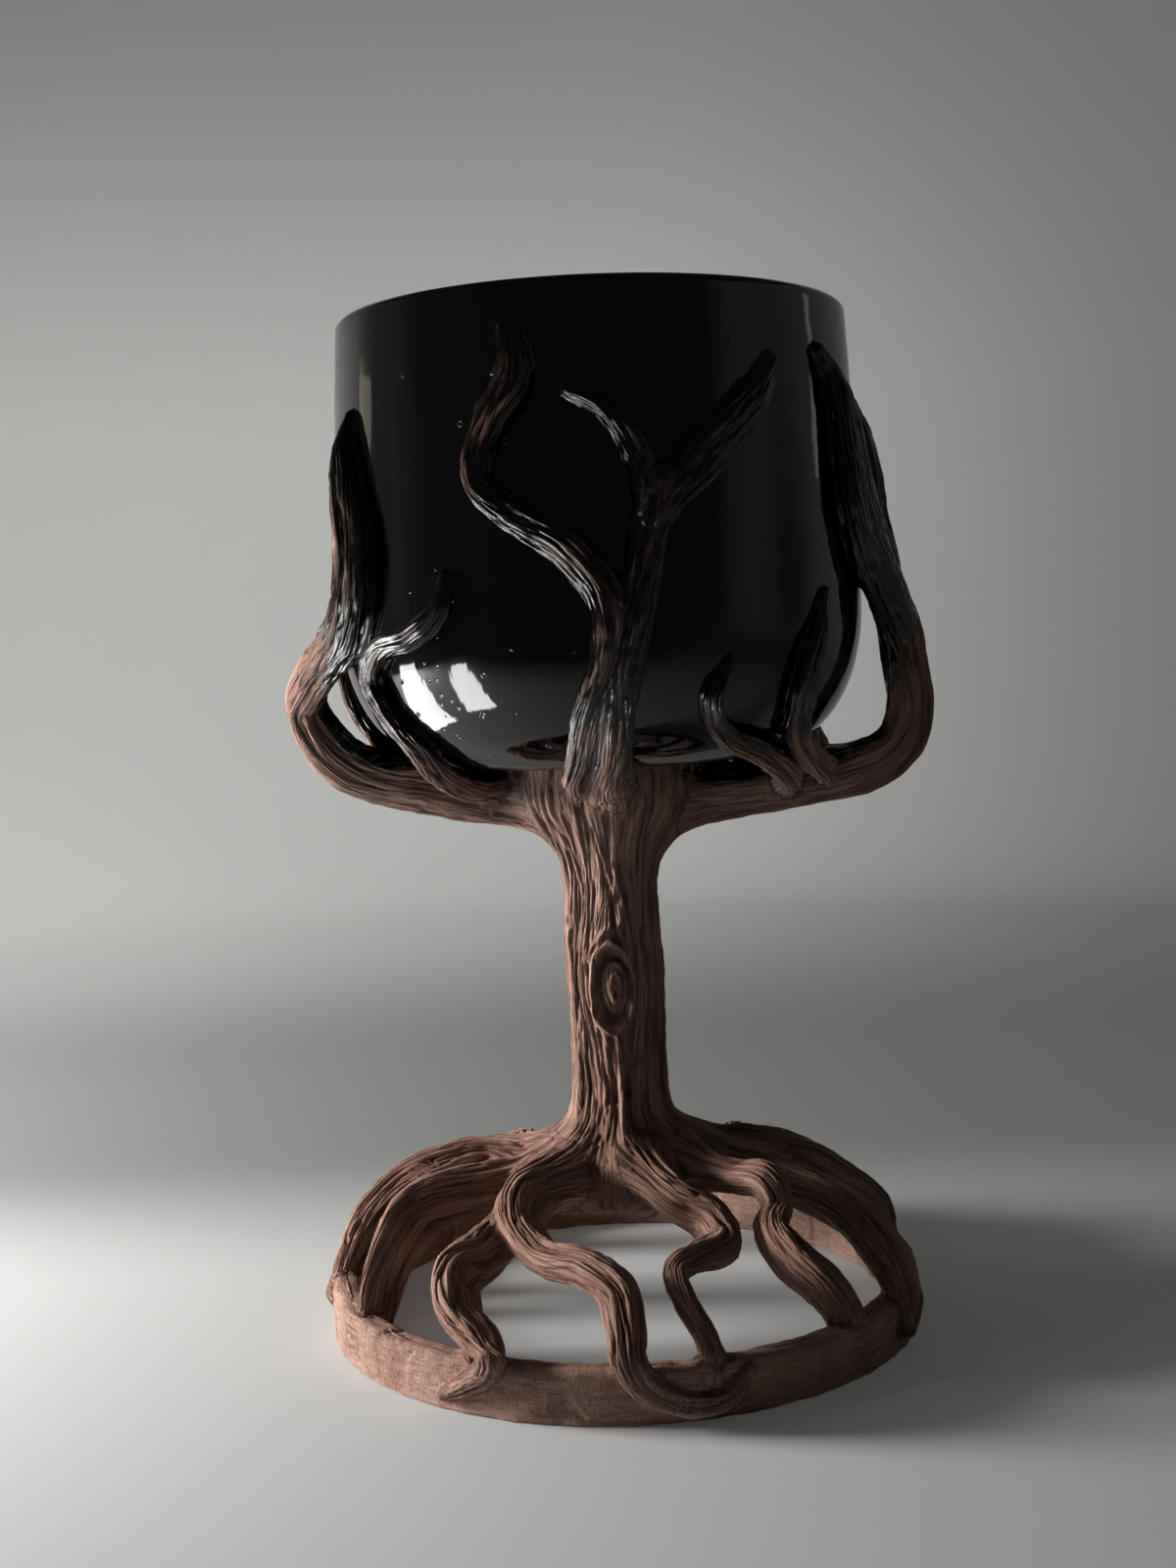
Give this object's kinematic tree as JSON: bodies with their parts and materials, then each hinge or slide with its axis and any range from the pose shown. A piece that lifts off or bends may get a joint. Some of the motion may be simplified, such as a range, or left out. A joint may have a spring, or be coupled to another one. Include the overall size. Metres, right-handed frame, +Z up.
{
  "type": "ceramic chalice",
  "caption": "Footed drinking cup on a tree-shaped stem: limbs grip a glossy bowl and roots arch down to a ring foot.",
  "frame": {"origin": "centre of the ring foot, on its flat underside", "axes": "+Z up through the stem and the cup, -Y the front with the knot, +X the viewer's right"},
  "size_m": [0.1318, 0.1287, 0.205],
  "materials": {
    "black_glaze": "gloss",
    "glazed_clay": "satin",
    "bare_clay": "matte"
  },
  "bodies": {
    "root": {"branch_back_left": "glazed_clay", "branch_back_right": "glazed_clay", "branch_front_left": "glazed_clay", "branch_right_outer": "glazed_clay", "cup": "black_glaze", "curl_left": "glazed_clay", "foot_ring": "bare_clay", "hook_right": "glazed_clay", "limb_back": "glazed_clay", "limb_front": "glazed_clay", "limb_left": "glazed_clay", "limb_right": "glazed_clay", "root_back_left": "bare_clay", "root_back_left_fork": "bare_clay", "root_back_right": "bare_clay", "root_far_right": "bare_clay", "root_front": "bare_clay", "root_front_fork": "bare_clay", "root_front_right": "bare_clay", "root_left": "bare_clay", "root_rear": "bare_clay", "root_rear_left": "bare_clay", "root_rear_right": "bare_clay", "root_right": "bare_clay", "spear_right": "glazed_clay", "trunk": "bare_clay", "trunk_knot": "bare_clay", "twig_back_left": "glazed_clay", "twig_back_right": "glazed_clay", "twig_front_left": "glazed_clay", "twig_front_right": "glazed_clay"}
  },
  "joints": []
}
